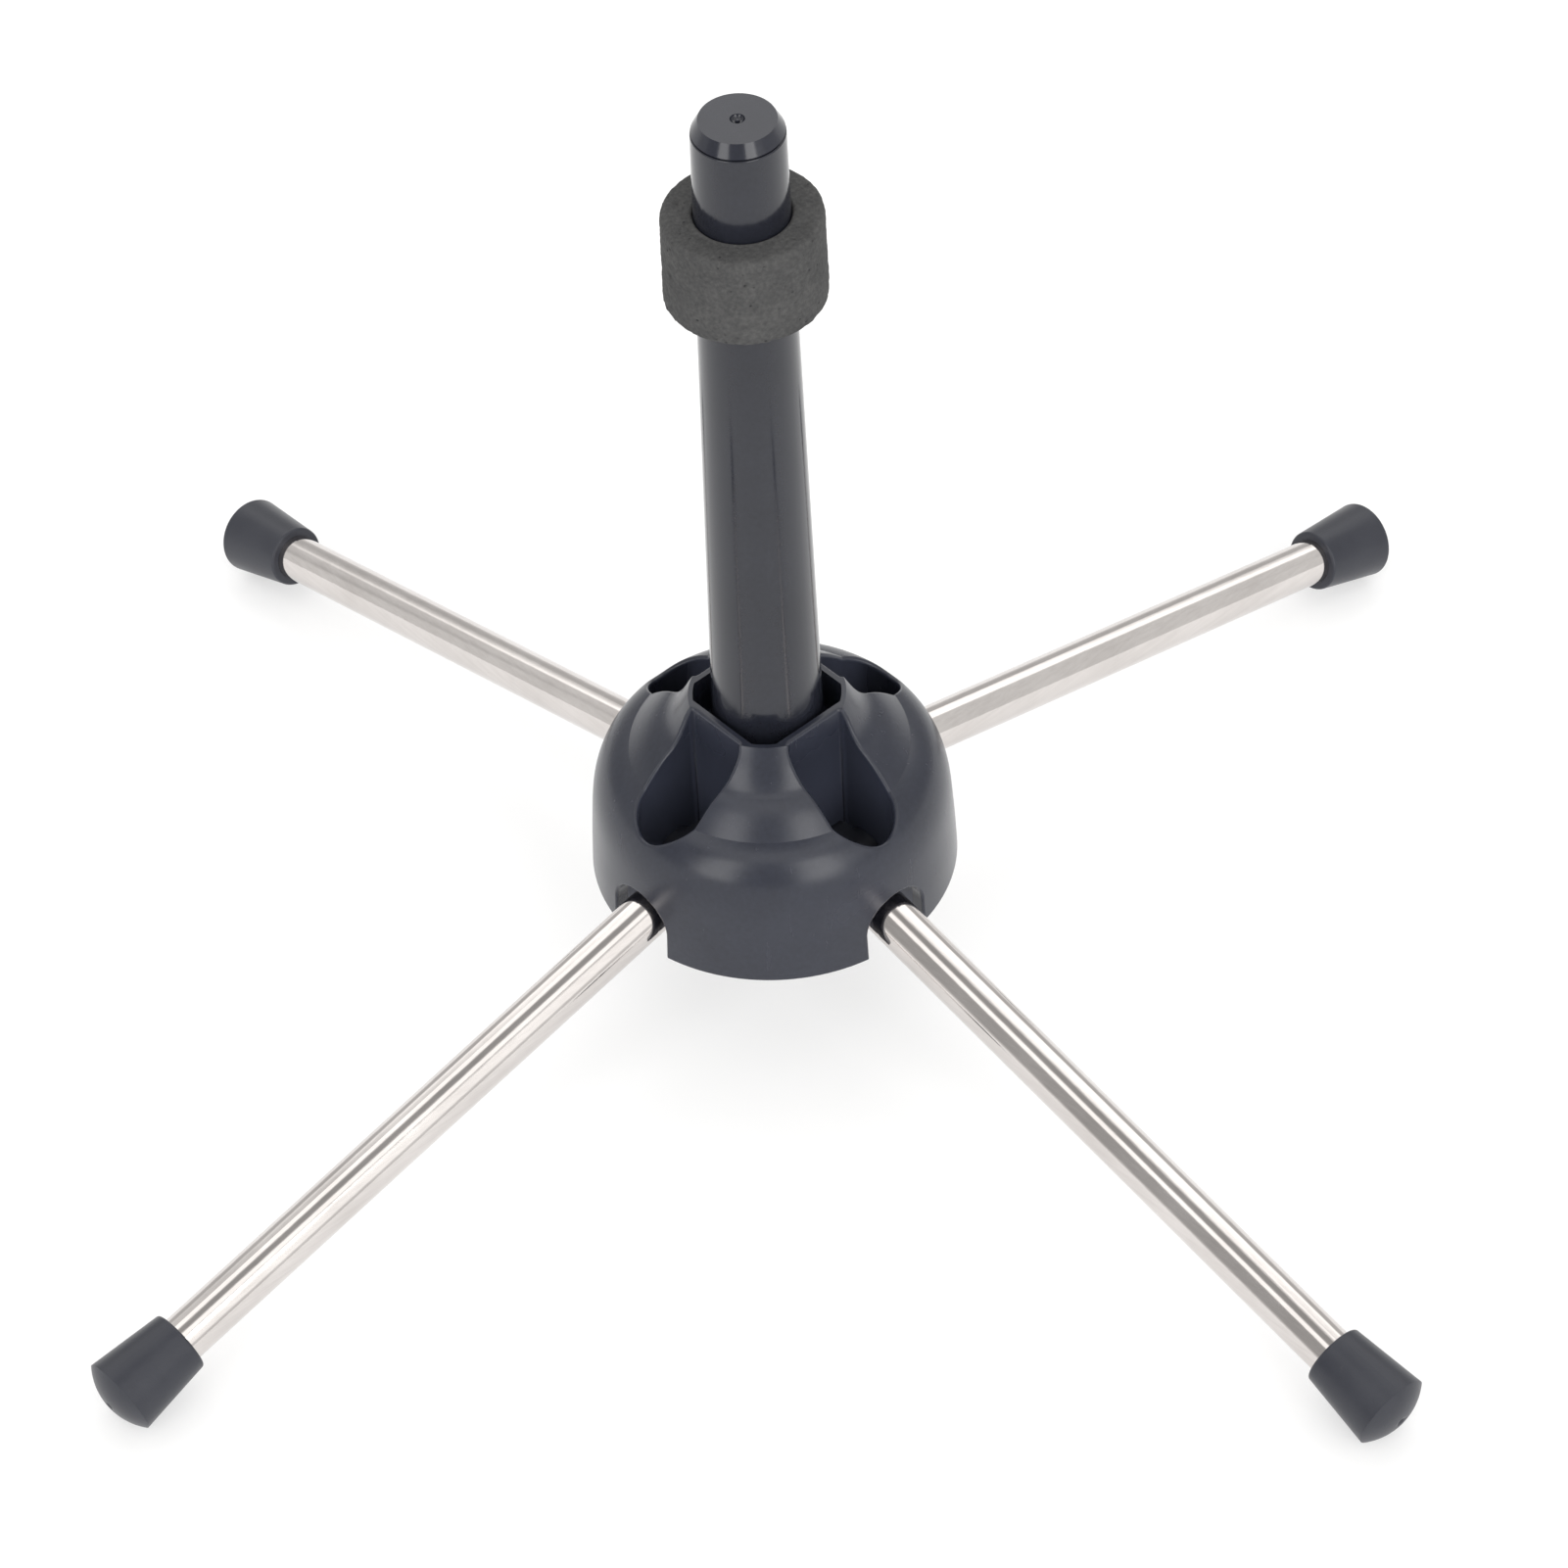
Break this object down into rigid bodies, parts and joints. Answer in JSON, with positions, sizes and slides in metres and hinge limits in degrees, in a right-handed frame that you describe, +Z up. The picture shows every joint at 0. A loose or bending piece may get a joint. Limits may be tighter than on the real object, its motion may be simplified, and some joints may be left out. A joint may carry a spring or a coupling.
{
  "type": "trumpet stand",
  "caption": "Folding floor stand with a tapered upright peg, foam bell collar and hinged tubular legs with rubber feet.",
  "frame": {"origin": "on the floor, on the axis of the peg and hub", "axes": "+Z up along the peg, legs along +X, -X, +Y and -Y"},
  "size_m": [0.3578, 0.3578, 0.2281],
  "materials": {
    "hub_plastic": "semi-gloss moulded, blue-grey black",
    "plate_plastic": "matte moulded, blue-grey black",
    "peg_plastic": "semi-gloss moulded, blue-grey black",
    "cap_plastic": "semi-gloss moulded, blue-grey black",
    "collar_foam": "closed-cell foam, grey, open pores on its cut faces",
    "screw_steel": "zinc-plated steel",
    "pin_steel": "turned steel",
    "leg_metal": "bright polished tube with fine lengthwise drawing marks",
    "foot_rubber": "satin moulded rubber",
    "knuckle_plastic": "matte black nylon"
  },
  "bodies": {
    "stand": {"hub_shell": "hub_plastic", "hub_base_plate": "plate_plastic", "peg_tube": "peg_plastic", "peg_end_cap": "cap_plastic", "plate_screws": "screw_steel", "peg_screw": "screw_steel", "peg_screw_washer": "screw_steel", "pivot_pin_front_left": "pin_steel", "pivot_pin_front_right": "pin_steel", "pivot_pin_back_right": "pin_steel", "pivot_pin_back_left": "pin_steel"},
    "collar": {"foam_collar": "collar_foam"},
    "leg_front_left": {"leg_tube_front_left": "leg_metal", "rubber_foot_front_left": "foot_rubber", "leg_knuckle_front_left": "knuckle_plastic"},
    "leg_front_right": {"leg_tube_front_right": "leg_metal", "rubber_foot_front_right": "foot_rubber", "leg_knuckle_front_right": "knuckle_plastic"},
    "leg_back_right": {"leg_tube_back_right": "leg_metal", "rubber_foot_back_right": "foot_rubber", "leg_knuckle_back_right": "knuckle_plastic"},
    "leg_back_left": {"leg_tube_back_left": "leg_metal", "rubber_foot_back_left": "foot_rubber", "leg_knuckle_back_left": "knuckle_plastic"}
  },
  "joints": [
    {"name": "collar_slide", "type": "slide", "parent": "stand", "child": "collar", "axis": [0, 0, 1], "range_m": [0, 0.018]},
    {"name": "leg_fold_front_left", "type": "hinge", "parent": "stand", "child": "leg_front_left", "pos_m": [-0.0203, 0, 0.0454], "axis": [0, -1, 0], "range_deg": [0, 76.5]},
    {"name": "leg_fold_front_right", "type": "hinge", "parent": "stand", "child": "leg_front_right", "pos_m": [0, -0.0203, 0.0454], "axis": [1, 0, 0], "range_deg": [0, 76.5]},
    {"name": "leg_fold_back_right", "type": "hinge", "parent": "stand", "child": "leg_back_right", "pos_m": [0.0203, 0, 0.0454], "axis": [0, 1, 0], "range_deg": [0, 76.5]},
    {"name": "leg_fold_back_left", "type": "hinge", "parent": "stand", "child": "leg_back_left", "pos_m": [0, 0.0203, 0.0454], "axis": [-1, 0, 0], "range_deg": [0, 76.5]}
  ]
}
